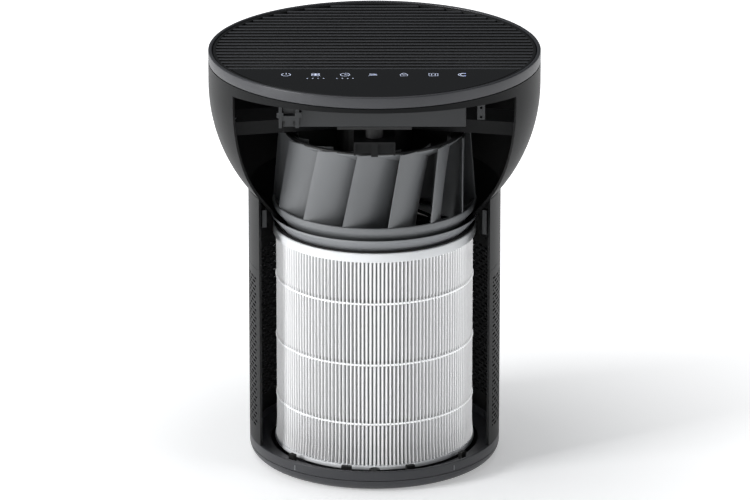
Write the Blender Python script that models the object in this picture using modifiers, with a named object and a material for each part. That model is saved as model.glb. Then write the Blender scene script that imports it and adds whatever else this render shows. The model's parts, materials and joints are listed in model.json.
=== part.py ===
"""Round air purifier, shown as a sectioned display model.

A perforated drum holds a pleated ring filter, and a wide bowl on top holds the motor, the fan wheel,
the slatted outlet and the touch panel. A wedge is cut out of the front of the drum and the bowl.
Metres, +Z up. The front faces -Y, and the origin is the centre of the footprint, on the floor.
"""

import math

import bmesh
import bpy
from mathutils import Matrix, Vector

# Driving dimensions
HEIGHT = 0.437
BOWL_R = 0.170
DRUM_R = 0.130
BASE_H = 0.0225
COVER_H = 0.0122
DRUM_SEAM_Z = 0.2140
WALL = 0.0030
DRUM_WALL = 0.0035
TAB_R = 0.1140
TAB_BOTTOM_Z = 0.0148
TAB_TOP_Z = 0.0224
GAP = 0.0004
STEPS = 48
SMALL_STEPS = 24

# Bowl: a sphere below a short cylinder, then a cone down to the fan inlet
SPHERE_Z = HEIGHT - 0.035
CONE_TOP_R = DRUM_R
CONE_TOP_Z = SPHERE_Z - math.sqrt(BOWL_R**2 - CONE_TOP_R**2)
CONE_SLOPE = (SPHERE_Z - CONE_TOP_Z) / CONE_TOP_R
CONE_END_R = 0.0972
RIM_H = 0.0118
BOWL_ARC_STEPS = 6

# Front section: two upright planes that meet behind the object
WEDGE_HALF_ANGLE = math.radians(33.5)
WEDGE_APEX_Y = 0.1245
WINDOW_TOP_FRONT = HEIGHT - 0.0164
WINDOW_TOP_SIDE = HEIGHT - 0.0236

# Filter
FILTER_R = 0.1016
FILTER_BOTTOM_Z = 0.0141
FILTER_TOP_Z = 0.2500
PLEAT_BOTTOM_Z = 0.0188
PLEAT_TOP_Z = 0.2400
CORE_R = 0.0655

# Fan and motor, on the Z axis
WHEEL_TOP_Z = 0.3535
WHEEL_TOP_R = 0.0985
WHEEL_BOTTOM_R = 0.1045
SHROUD_TOP_Z = 0.2770
BLADE_COUNT = 14
BLADE_LEAN = math.radians(8.0)
BLADE_SWEEP = math.radians(30.0)
BLADE_FIRST = math.radians(7.6)
MOTOR_R = 0.038
MOTOR_BOTTOM_Z = 0.3330
MOTOR_TOP_Z = 0.3727
SHAFT_R = 0.0040
ARM_ANGLES = (0, 78, 142, 218, 282)
ARM_TOP_Z = 0.3735
ARM_H = 0.0140
ARM_W = 0.0420

# Outlet grille and controls
GRILLE_R = 0.1655
SLAT_PITCH = 0.01047
SLAT_COUNT = 22
SLAT_W = 0.0037
PANEL_EDGE_Y = -0.0680
BOX_HALF_X = 0.0920
BOX_FRONT_Y = -0.1180
BOX_BACK_Y = -0.0730
BOX_BOTTOM_Z = 0.3900


def clear_scene():
    for obj in list(bpy.data.objects):
        bpy.data.objects.remove(obj, do_unlink=True)


def new_collection(name):
    found = bpy.data.collections.new(name)
    bpy.context.scene.collection.children.link(found)
    return found


def plastic(name, color, roughness, metallic=0.0):
    found = bpy.data.materials.new(name)
    found.use_nodes = True
    shader = found.node_tree.nodes["Principled BSDF"]
    shader.inputs["Base Color"].default_value = (*color, 1.0)
    shader.inputs["Roughness"].default_value = roughness
    shader.inputs["Metallic"].default_value = metallic
    return found


clear_scene()
PARTS = new_collection("air_purifier")
CUTTERS = new_collection("cutters")

CASE = plastic("case_black", (0.030, 0.031, 0.033), 0.45)
INNER = plastic("inner_black", (0.010, 0.010, 0.011), 0.60)
PANEL = plastic("panel_gloss", (0.008, 0.009, 0.010), 0.15)
FAN = plastic("fan_grey", (0.140, 0.145, 0.150), 0.50)
FRAME_GREY = plastic("frame_grey", (0.060, 0.062, 0.065), 0.50)
PLEATS = plastic("filter_media", (0.800, 0.810, 0.820), 0.90)
FILTER_RIM = plastic("filter_rim", (0.620, 0.630, 0.640), 0.55)
CARBON = plastic("carbon", (0.020, 0.020, 0.020), 0.95)
RUBBER = plastic("rubber", (0.020, 0.020, 0.021), 0.85)
STEEL = plastic("steel", (0.600, 0.610, 0.620), 0.30, 1.0)
COPPER = plastic("copper_winding", (0.550, 0.240, 0.110), 0.35, 1.0)
BOARD = plastic("board_green", (0.020, 0.110, 0.050), 0.50)


def finish(obj, name, material, cutter=False):
    """Names the object, gives it its material and moves it to its collection."""
    obj.name = name
    obj.data.name = name
    for collection in list(obj.users_collection):
        collection.objects.unlink(obj)
    (CUTTERS if cutter else PARTS).objects.link(obj)
    if cutter:
        obj.hide_render = True
        obj.display_type = "WIRE"
    else:
        obj.data.materials.clear()
        obj.data.materials.append(material)
        obj.data.shade_smooth()
        obj.data.set_sharp_from_angle(angle=math.radians(35))
    return obj


def lathe(name, outline, material, steps=STEPS, closed=True, cutter=False):
    """Turns an outline of (radius, height) about Z. It runs down the outer side, then up the inner one."""
    mesh = bpy.data.meshes.new(name)
    count = len(outline)
    edges = [(i, (i + 1) % count) for i in range(count if closed else count - 1)]
    mesh.from_pydata([(r, 0.0, z) for r, z in outline], edges, [])
    obj = bpy.data.objects.new(name, mesh)
    finish(obj, name, material, cutter)
    screw = obj.modifiers.new("Turn", "SCREW")
    screw.axis = "Z"
    screw.angle = math.tau
    screw.steps = steps
    screw.render_steps = steps
    screw.use_merge_vertices = True
    screw.merge_threshold = 0.00005
    screw.use_smooth_shade = True
    return obj


def ring(name, r_in, r_out, z_low, z_high, material, steps=STEPS, cutter=False):
    outline = [(r_out, z_high), (r_out, z_low), (r_in, z_low), (r_in, z_high)]
    return lathe(name, outline, material, steps, True, cutter)


def disc(name, radius, z_low, z_high, material, steps=SMALL_STEPS, cutter=False):
    outline = [(0.0, z_high), (radius, z_high), (radius, z_low), (0.0, z_low)]
    return lathe(name, outline, material, steps, False, cutter)


def block(name, low, high, material, bevel=0.0, cutter=False):
    """A box from its lowest to its highest corner."""
    low, high = Vector(low), Vector(high)
    mesh = bpy.data.meshes.new(name)
    build = bmesh.new()
    bmesh.ops.create_cube(build, size=1.0)
    bmesh.ops.scale(build, vec=high - low, verts=build.verts)
    build.to_mesh(mesh)
    build.free()
    obj = bpy.data.objects.new(name, mesh)
    obj.location = (low + high) / 2
    finish(obj, name, material, cutter)
    if bevel:
        edge = obj.modifiers.new("Edges", "BEVEL")
        edge.width = bevel
        edge.segments = 2
    return obj


def post(name, radius, x, y, z_low, z_high, material, steps=SMALL_STEPS, cutter=False):
    """An upright round bar."""
    bpy.ops.mesh.primitive_cylinder_add(
        vertices=steps, radius=radius, depth=z_high - z_low, location=(x, y, (z_low + z_high) / 2)
    )
    return finish(bpy.context.active_object, name, material, cutter)


def combine(obj, other, operation="DIFFERENCE"):
    change = obj.modifiers.new(other.name[:50], "BOOLEAN")
    change.operation = operation
    change.object = other
    return obj


def front_point(radius, angle, z):
    """A point at an angle from the front, positive towards +X."""
    return Vector((radius * math.sin(angle), -radius * math.cos(angle), z))


def tapered_cutter(name, back_y, front_y, z_low):
    """The wedge that opens the front: upright sides that spread forwards, under a sloping top."""
    cutter = block(name, (-1, -1, 0), (1, 1, 1), None, cutter=True)
    cutter.location = (0, 0, 0)
    side_y = -math.sqrt(BOWL_R**2 - 0.1444**2)
    slope = (WINDOW_TOP_FRONT - WINDOW_TOP_SIDE) / (-BOWL_R - side_y)
    for vertex in cutter.data.vertices:
        y = front_y if vertex.co.y < 0 else back_y
        half = math.tan(WEDGE_HALF_ANGLE) * (WEDGE_APEX_Y - y)
        top = WINDOW_TOP_FRONT + slope * (y + BOWL_R)
        high = vertex.co.z > 0
        vertex.co = (math.copysign(half, vertex.co.x), y, top if high else z_low)
    return cutter


def bowl_outline():
    """Cylinder, sphere and cone on the outside, then the same surface one wall thickness further in."""
    end_angle = math.asin((SPHERE_Z - CONE_TOP_Z) / BOWL_R)
    arc = [end_angle * i / BOWL_ARC_STEPS for i in range(BOWL_ARC_STEPS + 1)]
    top_z = HEIGHT - RIM_H - GAP
    cone_end_z = CONE_TOP_Z - (CONE_TOP_R - CONE_END_R) / CONE_SLOPE
    outer = [(BOWL_R, top_z)]
    outer += [(BOWL_R * math.cos(a), SPHERE_Z - BOWL_R * math.sin(a)) for a in arc]
    outer.append((CONE_END_R, cone_end_z))
    inner_r = BOWL_R - WALL
    shift = (-WALL * math.cos(end_angle), WALL * math.sin(end_angle))
    inner = [(CONE_END_R + shift[0], cone_end_z + shift[1])]
    inner += [(inner_r * math.cos(a), SPHERE_Z - inner_r * math.sin(a)) for a in reversed(arc)]
    inner.append((inner_r, top_z))
    return outer + inner


def cone_z(radius, drop=0.0):
    """Height of the bowl's cone at a radius, lowered square to the surface by drop."""
    end_angle = math.asin((SPHERE_Z - CONE_TOP_Z) / BOWL_R)
    return CONE_TOP_Z - (CONE_TOP_R - radius) / CONE_SLOPE - drop / math.sin(end_angle)


def make_housing(wedge):
    bowl = lathe("bowl_casing", bowl_outline(), CASE)
    combine(bowl, wedge)

    rim_z = HEIGHT - RIM_H
    seat_r = 0.1590
    rim = [
        (BOWL_R - 0.0010, HEIGHT),
        (BOWL_R, HEIGHT - 0.0010),
        (BOWL_R, rim_z),
        (BOWL_R - WALL - 0.0004, rim_z),
        (BOWL_R - WALL - 0.0004, rim_z - 0.0016),
        (seat_r, rim_z - 0.0016),
        (seat_r, rim_z + 0.0012),
        (GRILLE_R + 0.0007, rim_z + 0.0012),
        (GRILLE_R + 0.0007, HEIGHT),
    ]
    lathe("rim_ring", rim, CASE)

    collar_in = DRUM_R - DRUM_WALL
    collar = [
        (DRUM_R, CONE_TOP_Z - 0.0008),
        (DRUM_R, DRUM_SEAM_Z + GAP / 2),
        (collar_in, DRUM_SEAM_Z + GAP / 2),
        (collar_in, cone_z(collar_in) - 0.0008),
    ]
    collar = lathe("upper_collar", collar, CASE)
    combine(collar, wedge)

    grille = ring("intake_grille", collar_in, DRUM_R, BASE_H + GAP, DRUM_SEAM_Z - GAP / 2, CASE)
    combine(grille, wedge)

    base = [
        (DRUM_R, BASE_H),
        (DRUM_R, COVER_H + GAP),
        (0.1080, COVER_H + GAP),
        (0.1080, 0.0145),
        (collar_in, 0.0145),
        (collar_in, BASE_H),
    ]
    lathe("base_ring", base, CASE)

    flange = 0.0020
    neck_in = 0.0932
    neck_out = 0.0950
    orifice = [
        (0.1071, cone_z(0.1071, GAP)),
        (0.1071, cone_z(0.1071, flange)),
        (neck_out + 0.0010, cone_z(neck_out + 0.0010, flange)),
        (neck_out, 0.2480),
        (neck_out, 0.2440),
        (neck_in, 0.2440),
        (neck_in, cone_z(CONE_END_R, GAP) - 0.0008),
        (CONE_END_R - 0.0015, cone_z(CONE_END_R - 0.0015, GAP) - 0.0002),
    ]
    lathe("orifice_ring", orifice, FRAME_GREY)
    return collar, grille


def make_inner_fittings(grille, collar):
    block("cable_channel", (-0.009, 0.1085, 0.0620), (0.009, 0.1215, 0.2120), INNER)

    for side, name, foot in ((-1, "collar_rib_left", 0.2585), (1, "collar_rib_right", 0.2510)):
        rib = block(name, (-0.0025, -0.0025, foot), (0.0025, 0.0025, 0.2775), FRAME_GREY)
        spot = front_point(0.1215, side * math.radians(69), 0)
        rib.location = (spot.x, spot.y, rib.location.z)
        rib.rotation_euler = (0, 0, side * math.radians(69))

    tabs = (
        ("locating_tab_left", -14.6, 0.0052),
        ("locating_tab_right", 18.8, 0.0046),
        ("cover_catch_left", -47.8, 0.0036),
        ("cover_catch_right", 52.5, 0.0036),
    )
    for name, degrees, half in tabs:
        angle = math.radians(degrees)
        tab = block(name, (-half, -0.0025, TAB_BOTTOM_Z), (half, 0.0025, TAB_TOP_Z), INNER)
        spot = front_point(TAB_R, angle, tab.location.z)
        tab.location = spot
        tab.rotation_euler = (0, 0, angle)
    post("front_stub", 0.0054, 0.0, -0.1180, TAB_BOTTOM_Z, TAB_TOP_Z - 0.0008, INNER, 16)

    hole_low, hole_high = (-0.0155, 0.115, 0.0330), (0.0155, 0.140, 0.0510)
    hole = block("inlet_hole", hole_low, hole_high, None, cutter=True)
    combine(grille, hole)
    socket = block("power_inlet", (-0.0150, 0.1120, 0.0335), (0.0150, 0.1275, 0.0505), INNER)
    for side in (-1, 1):
        bpy.ops.mesh.primitive_cylinder_add(
            vertices=16,
            radius=0.0036,
            depth=0.0180,
            location=(side * 0.0042, 0.1270, 0.0420),
            rotation=(math.pi / 2, 0, 0),
        )
        well = finish(bpy.context.active_object, f"inlet_well_{side}", None, cutter=True)
        combine(socket, well)

    for index in range(3):
        z = 0.2410 + 0.0060 * index
        slot_low = (-0.0120, 0.120, z)
        slot_high = (0.0120, 0.140, z + 0.0028)
        slot = block(f"sensor_slot_{index}", slot_low, slot_high, None, cutter=True)
        combine(collar, slot)
    block("sensor_module", (-0.0200, 0.1085, 0.2320), (0.0200, 0.1225, 0.2620), INNER)


def make_cover():
    """The twist-off bottom cover that carries the filter and the feet."""
    round_r = 0.0140
    centre_r = DRUM_R - round_r
    start = math.asin((round_r - COVER_H) / round_r)
    end = math.asin((round_r - 0.0015) / round_r)
    arc = [start + (end - start) * i / 5 for i in range(6)]
    outline = [(0.1262, COVER_H)]
    outline += [(centre_r + round_r * math.cos(a), round_r - round_r * math.sin(a)) for a in arc]
    seat = FILTER_BOTTOM_Z - 0.0003
    inside = [(0.0, 0.0042), (0.0880, 0.0042), (0.0880, seat), (0.0960, seat), (0.0960, 0.0042)]
    inside += [(0.1180, 0.0042), (0.1262, 0.0090)]
    lathe("cover_dish", inside + outline + [(0.0, 0.0015)], CASE, STEPS, closed=False)
    for index in range(4):
        spot = front_point(0.0980, math.radians(45 + 90 * index), 0)
        post(f"foot_{index + 1}", 0.0090, spot.x, spot.y, 0.0, 0.0012, RUBBER, 20)


def make_filter():
    media = [
        (FILTER_R, PLEAT_TOP_Z - GAP),
        (FILTER_R, 0.0340),
        (FILTER_R + 0.0012, PLEAT_BOTTOM_Z + GAP),
        (0.0722, PLEAT_BOTTOM_Z + GAP),
        (0.0722, PLEAT_TOP_Z - GAP),
    ]
    lathe("filter_media", media, PLEATS)
    top = [
        (0.1039, FILTER_TOP_Z),
        (0.1047, FILTER_TOP_Z - 0.0009),
        (0.1047, PLEAT_TOP_Z),
        (0.0740, PLEAT_TOP_Z),
        (0.0740, 0.2424),
        (0.0962, 0.2424),
        (0.0962, 0.2482),
        (0.0976, FILTER_TOP_Z),
    ]
    lathe("filter_top_ring", top, FILTER_RIM)
    bottom = [
        (0.0, PLEAT_BOTTOM_Z - 0.0020),
        (0.0718, PLEAT_BOTTOM_Z - 0.0020),
        (0.0726, PLEAT_BOTTOM_Z),
        (0.1030, PLEAT_BOTTOM_Z),
        (0.1038, PLEAT_BOTTOM_Z - 0.0010),
        (0.1038, FILTER_BOTTOM_Z + 0.0010),
        (0.1028, FILTER_BOTTOM_Z),
        (0.0, FILTER_BOTTOM_Z),
    ]
    lathe("filter_bottom_cap", bottom, FILTER_RIM, STEPS, closed=False)
    ring("carbon_sleeve", 0.0682, 0.0716, 0.0178, PLEAT_TOP_Z - GAP, CARBON, 36)
    ring("filter_core", CORE_R, 0.0676, 0.0174, PLEAT_TOP_Z + 0.0010, INNER, 36)
    ring("filter_gasket", 0.0998, 0.1034, FILTER_TOP_Z + 0.0003, FILTER_TOP_Z + 0.0014, RUBBER)


def shroud_z(radius):
    """Height of the shroud's inner face at a radius, with the blades' clearance added."""
    outline = [
        (0.0, 0.2585),
        (0.0888, 0.2585),
        (0.0970, 0.2656),
        (0.1022, 0.2740),
        (0.1024, 0.2774),
        (1.0, 0.2774),
    ]
    for (r0, z0), (r1, z1) in zip(outline, outline[1:]):
        if r0 <= radius <= r1:
            return z0 + (z1 - z0) * (radius - r0) / (r1 - r0)
    return WHEEL_TOP_Z


def blade_line(radii, tip_angle):
    """Points along a blade from its tip inwards, turning further from the front as it goes."""
    tip, root = radii[0], radii[-1]
    line = []
    for radius in radii:
        t = (tip - radius) / (tip - root)
        angle = tip_angle + BLADE_SWEEP * (1.35 * t - 0.35 * t * t)
        line.append(front_point(radius, angle, 0))
    return line


def thicken(line, thickness):
    """Out along one face of a blade and back along the other."""
    last = len(line) - 1
    near, far = [], []
    for i, point in enumerate(line):
        along = (line[min(i + 1, last)] - line[max(i - 1, 0)]).normalized()
        side = Vector((-along.y, along.x, 0)) * thickness / 2
        near.append(point + side)
        far.append(point - side)
    return near + far[::-1]


def make_blades():
    """All the blades as one cutter-side mesh, each a loft between its foot and its head."""
    foot_radii = [WHEEL_BOTTOM_R, 0.1012, 0.0960, 0.0885, 0.0760, 0.0640]
    head_radii = [WHEEL_TOP_R - 0.0004 - 0.0037 * i for i in range(len(foot_radii))]
    build = bmesh.new()
    for index in range(BLADE_COUNT):
        foot_angle = BLADE_FIRST + math.tau * index / BLADE_COUNT
        foot = thicken(blade_line(foot_radii, foot_angle), 0.0024)
        head = thicken(blade_line(head_radii, foot_angle + BLADE_LEAN), 0.0024)
        size = len(foot)
        half = size // 2
        for i, point in enumerate(foot):
            step = i if i < half else size - 1 - i
            radius = math.hypot(point.x, point.y) + 0.0006 if step > 1 else WHEEL_BOTTOM_R
            point.z = shroud_z(radius) + 0.0002
        for point in head:
            point.z = WHEEL_TOP_Z - 0.0012
        levels = [[build.verts.new(p) for p in level] for level in (foot, head)]
        for i in range(size):
            j = (i + 1) % size
            build.faces.new((levels[0][i], levels[0][j], levels[1][j], levels[1][i]))
        for level in levels:
            for i in range(half - 1):
                build.faces.new((level[i], level[i + 1], level[size - 2 - i], level[size - 1 - i]))
    bmesh.ops.triangulate(build, faces=build.faces)
    bmesh.ops.recalc_face_normals(build, faces=build.faces)
    mesh = bpy.data.meshes.new("blade_set")
    build.to_mesh(mesh)
    build.free()
    return finish(bpy.data.objects.new("blade_set", mesh), "blade_set", None, cutter=True)


def make_fan():
    bore = SHAFT_R + 0.0003
    floor_r = 0.0450
    floor_z = 0.3300
    thick = 0.0025
    edge_r = WHEEL_TOP_R - 0.0050
    wheel = [
        (edge_r, WHEEL_TOP_Z),
        (edge_r, WHEEL_TOP_Z - 0.0032),
        (0.0850, WHEEL_TOP_Z - 0.0100),
        (0.0660, WHEEL_TOP_Z - 0.0210),
        (floor_r - 0.0005, floor_z - thick),
        (0.0100, floor_z - thick),
        (0.0100, 0.3180),
        (bore, 0.3180),
        (bore, floor_z),
        (floor_r, floor_z),
        (0.0650, WHEEL_TOP_Z - 0.0170),
        (0.0835, WHEEL_TOP_Z - 0.0065),
        (edge_r - 0.0045, WHEEL_TOP_Z),
    ]
    wheel = lathe("impeller_wheel", wheel, FAN, BLADE_COUNT * 3)
    combine(wheel, make_blades(), "UNION")
    shroud = [
        (0.1050, SHROUD_TOP_Z),
        (0.1050, 0.2710),
        (0.0988, 0.2630),
        (0.0920, 0.2560),
        (0.0910, 0.2500),
        (0.0888, 0.2500),
        (0.0898, 0.2570),
        (0.0970, 0.2646),
        (0.1026, 0.2716),
        (0.1026, SHROUD_TOP_Z),
    ]
    lathe("impeller_shroud", shroud, FAN)
    disc("motor_shaft", SHAFT_R, 0.3060, 0.3655, STEEL)
    ring("shaft_nut", bore + 0.0007, 0.0080, 0.3120, 0.3176, STEEL, 6)
    ring("motor_rotor", bore, 0.0245, 0.3430, 0.3590, STEEL)


def make_motor():
    can = [
        (MOTOR_R, MOTOR_TOP_Z - 0.0032),
        (MOTOR_R, MOTOR_BOTTOM_Z),
        (0.0060, MOTOR_BOTTOM_Z),
        (0.0060, MOTOR_BOTTOM_Z + 0.0020),
        (MOTOR_R - 0.0020, MOTOR_BOTTOM_Z + 0.0020),
        (MOTOR_R - 0.0020, MOTOR_TOP_Z - 0.0032),
    ]
    lathe("motor_can", can, INNER, 32)
    disc("motor_end_cap", MOTOR_R, MOTOR_TOP_Z - 0.0028, MOTOR_TOP_Z, INNER, 32)
    ring("motor_stator", 0.0258, 0.0356, 0.3425, 0.3600, COPPER, 32)
    ring("lower_bearing", SHAFT_R + 0.0003, 0.0087, 0.3353, 0.3413, STEEL)
    ring("upper_bearing", SHAFT_R + 0.0003, 0.0087, 0.3600, 0.3655, STEEL)


def make_arm(name, start, length):
    """An inverted channel with a middle rib, drawn out along -Y."""
    half, low, top = ARM_W / 2, ARM_TOP_Z - ARM_H, ARM_TOP_Z
    wall, rib = 0.0020, 0.0034
    right = [(half, top), (half, low), (half - wall, low), (half - wall, top - wall)]
    right += [(rib, top - wall), (rib, low - 0.0015)]
    section = right + [(-x, z) for x, z in reversed(right)]
    build = bmesh.new()
    near = [build.verts.new((x, -start, z)) for x, z in section]
    far = [build.verts.new((x, -length, z)) for x, z in section]
    count = len(section)
    build.faces.new(near)
    build.faces.new(far[::-1])
    for i in range(count):
        j = (i + 1) % count
        build.faces.new((near[j], near[i], far[i], far[j]))
    bmesh.ops.recalc_face_normals(build, faces=build.faces)
    mesh = bpy.data.meshes.new(name)
    build.to_mesh(mesh)
    build.free()
    return finish(bpy.data.objects.new(name, mesh), name, None, cutter=True)


def make_bracket():
    """Five inverted channels round a hub plate. The front arm stops short, at the section."""
    hub = disc("motor_bracket", 0.0760, ARM_TOP_Z - 0.0005, ARM_TOP_Z + 0.0035, FRAME_GREY, 40)
    arm_end = 0.1585
    for index, degrees in enumerate(ARM_ANGLES):
        angle = math.radians(degrees)
        length = 0.1175 if index == 0 else arm_end
        arm = make_arm(f"arm_{index}", 0.0430, length)
        arm.rotation_euler = (0, 0, angle)
        combine(hub, arm, "UNION")
        low = ARM_TOP_Z - ARM_H
        inset = 0.0040 if index == 0 else 0.0018
        x = ARM_W / 2 - 0.0007
        r0, r1 = length - inset - 0.0020, length - inset
        web_low = (-x, -r1, low + 0.0008)
        web_high = (x, -r0, ARM_TOP_Z - 0.0011)
        web = block(f"arm_web_{index}", web_low, web_high, None, cutter=True)
        web.data.transform(Matrix.Translation(web.location))
        web.location = (0, 0, 0)
        web.rotation_euler = (0, 0, angle)
        combine(hub, web, "UNION")
        if index:
            spot = front_point(0.1500, angle, 0) + front_point(0.010, angle + math.pi / 2, 0)
            hole = post(f"screw_hole_{index}", 0.0023, spot.x, spot.y, 0.34, 0.38, None, 12, cutter=True)
            combine(hub, hole)
            screw = [
                (0.0, ARM_TOP_Z + 0.0028),
                (0.0040, ARM_TOP_Z + 0.0022),
                (0.0040, ARM_TOP_Z + 0.0003),
                (0.0020, ARM_TOP_Z + 0.0003),
                (0.0020, ARM_TOP_Z - 0.0100),
                (0.0, ARM_TOP_Z - 0.0110),
            ]
            screw = lathe(f"bracket_screw_{index}", screw, STEEL, 16, closed=False)
            screw.location = (spot.x, spot.y, 0)
    return hub


def make_inlet_guard():
    """Rings and spokes across the fan inlet, which keep fingers out."""
    low, high = 0.2445, 0.2470
    guard = ring("inlet_guard", 0.0890, 0.0924, low, high, INNER, 36)
    for label, radius in (("outer", 0.0650), ("middle", 0.0420), ("inner", 0.0190)):
        hoop = ring(f"guard_{label}", radius - 0.0012, radius + 0.0012, low, high, None, 24, cutter=True)
        combine(guard, hoop, "UNION")
    for index in range(3):
        bar_low = (-0.091, -0.0013, low + 0.0003)
        bar_high = (0.091, 0.0013, high - 0.0003)
        bar = block(f"guard_bar_{index}", bar_low, bar_high, None, cutter=True)
        bar.rotation_euler = (0, 0, math.radians(20 + 60 * index))
        combine(guard, bar, "UNION")


def make_top():
    low, high = HEIGHT - 0.0100, HEIGHT - 0.0012
    grille = ring("outlet_grille", GRILLE_R - 0.0035, GRILLE_R, low, high, CASE)
    reach = GRILLE_R - 0.0018
    for index in range(SLAT_COUNT):
        y = PANEL_EDGE_Y + 0.0030 + SLAT_PITCH * index
        half = math.sqrt(reach**2 - (abs(y) + SLAT_W / 2) ** 2)
        slat_low = (-half, y - SLAT_W / 2, low + 0.0003)
        slat_high = (half, y + SLAT_W / 2, high - 0.0004)
        combine(grille, block(f"slat_{index}", slat_low, slat_high, None, cutter=True), "UNION")
    for index, x in enumerate((-0.0800, 0.0, 0.0800)):
        back = math.sqrt(reach**2 - (abs(x) + 0.0020) ** 2)
        rib_low = (x - 0.0016, PANEL_EDGE_Y + 0.0032, low + 0.0006)
        rib_high = (x + 0.0016, back, low + 0.0034)
        combine(grille, block(f"grille_rib_{index}", rib_low, rib_high, None, cutter=True), "UNION")

    panel = disc("touch_panel", GRILLE_R - 0.0040, HEIGHT - 0.0046, HEIGHT - 0.0014, PANEL, STEPS)
    behind = block("panel_trim", (-0.2, PANEL_EDGE_Y, 0.42), (0.2, 0.2, 0.45), None, cutter=True)
    combine(panel, behind)

    wall = 0.0020
    box_top = HEIGHT - 0.0125
    box = block(
        "control_box",
        (-BOX_HALF_X, BOX_FRONT_Y, BOX_BOTTOM_Z),
        (BOX_HALF_X, BOX_BACK_Y, box_top),
        FRAME_GREY,
    )
    hollow = block(
        "box_hollow",
        (-BOX_HALF_X + wall, BOX_FRONT_Y + wall, BOX_BOTTOM_Z + wall),
        (BOX_HALF_X - wall, BOX_BACK_Y - wall, box_top + 0.01),
        None,
        cutter=True,
    )
    combine(box, hollow)
    inside = wall + 0.0010
    display_low = (-BOX_HALF_X + inside, BOX_FRONT_Y + inside, box_top - 0.0050)
    display_high = (BOX_HALF_X - inside, BOX_BACK_Y - inside, box_top - 0.0034)
    block("display_board", display_low, display_high, BOARD)
    power_low = (-BOX_HALF_X + inside, BOX_FRONT_Y + inside, BOX_BOTTOM_Z + 0.0050)
    power_high = (BOX_HALF_X - inside, BOX_BACK_Y - inside, BOX_BOTTOM_Z + 0.0066)
    board = block("power_board", power_low, power_high, BOARD)
    deck = power_high[2] - 0.0005
    core_low, core_high = (0.020, -0.110, deck), (0.048, -0.082, deck + 0.018)
    transformer = block("transformer", core_low, core_high, None, cutter=True)
    combine(board, transformer, "UNION")
    for index, x in enumerate((-0.060, -0.035)):
        can = post(f"capacitor_{index}", 0.0070, x, -0.096, deck, deck + 0.019, None, 16, cutter=True)
        combine(board, can, "UNION")

    duct_top = BOX_BOTTOM_Z - 0.0003
    duct = ring("wire_duct", 0.0072, 0.0090, ARM_TOP_Z + 0.0003, duct_top, INNER)
    duct.location = (0, -0.0980, 0)
    plate_low = (-0.0375, -0.1160, duct_top - 0.0032)
    plate_high = (0.0375, -0.0860, duct_top - 0.0004)
    plate = block("duct_plate", plate_low, plate_high, None, cutter=True)
    combine(duct, plate, "UNION")
    through = post("duct_hole", 0.0071, 0.0, -0.0980, 0.36, 0.40, None, 24, cutter=True)
    combine(duct, through)


def make_clips():
    """Small parts on the front of the control box: a wire clip and a screw tab."""
    y0, y1 = BOX_FRONT_Y - 0.0060, BOX_FRONT_Y - 0.0004
    clip = block("wire_clip", (-0.0962, y0, 0.3905), (-0.0930, y1, 0.4180), FRAME_GREY)
    pieces = [
        ("post_right", -0.0795, -0.0758, 0.3905, 0.4160),
        ("wide_left", -0.0982, -0.0915, 0.4010, 0.4066),
        ("wide_right", -0.0800, -0.0733, 0.4015, 0.4070),
        ("bar", -0.0935, -0.0790, 0.3978, 0.4032),
        ("tongue", -0.0895, -0.0820, 0.3925, 0.3985),
    ]
    for label, x0, x1, z0, z1 in pieces:
        inset = 0.0003 if label.startswith("wide") else 0.0006
        part = block(f"clip_{label}", (x0, y0 + inset, z0), (x1, y1 - inset, z1), None, cutter=True)
        combine(clip, part, "UNION")
    tab = block("screw_tab", (0.1032, y0 + 0.0030, 0.3985), (0.1110, y1 + 0.0030, 0.4170), FRAME_GREY)
    arm = block("tab_arm", (0.0924, y1 - 0.0005, 0.4130), (0.1042, y1 + 0.0020, 0.4165), None, cutter=True)
    combine(tab, arm, "UNION")
    for index, z in enumerate((0.4014, 0.4112)):
        bpy.ops.mesh.primitive_cylinder_add(
            vertices=12,
            radius=0.0013,
            depth=0.03,
            location=(0.1071, y0, z),
            rotation=(math.pi / 2, 0, 0),
        )
        hole = finish(bpy.context.active_object, f"tab_hole_{index}", None, cutter=True)
        combine(tab, hole)


def main():
    wedge = tapered_cutter("front_wedge", -0.0100, -0.2000, 0.0100)
    collar, grille = make_housing(wedge)
    make_inner_fittings(grille, collar)
    make_cover()
    make_filter()
    make_fan()
    make_motor()
    make_bracket()
    make_inlet_guard()
    make_top()
    make_clips()


main()
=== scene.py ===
import json
import math

import bmesh
import bpy
from mathutils import Matrix, Vector


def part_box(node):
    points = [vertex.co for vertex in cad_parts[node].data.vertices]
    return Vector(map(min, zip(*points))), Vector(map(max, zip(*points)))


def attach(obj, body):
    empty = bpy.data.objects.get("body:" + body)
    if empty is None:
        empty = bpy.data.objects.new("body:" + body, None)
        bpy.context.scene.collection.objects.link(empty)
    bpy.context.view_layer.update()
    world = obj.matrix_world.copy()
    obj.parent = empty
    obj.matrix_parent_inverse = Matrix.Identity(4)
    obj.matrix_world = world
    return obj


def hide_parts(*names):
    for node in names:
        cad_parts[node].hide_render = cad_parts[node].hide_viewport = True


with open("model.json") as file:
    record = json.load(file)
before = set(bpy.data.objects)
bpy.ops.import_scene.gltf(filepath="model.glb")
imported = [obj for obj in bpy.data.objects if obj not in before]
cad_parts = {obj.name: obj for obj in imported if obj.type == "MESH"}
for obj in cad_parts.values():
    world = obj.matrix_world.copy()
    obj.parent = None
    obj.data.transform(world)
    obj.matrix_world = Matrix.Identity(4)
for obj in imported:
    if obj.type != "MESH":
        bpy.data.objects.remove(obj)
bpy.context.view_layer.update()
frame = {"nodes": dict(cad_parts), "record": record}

# Round air purifier with its front wedge cut away: bowl top, blower wheel, pleated ring filter.
# Metres, +Z up, the opened front faces -Y.

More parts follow.
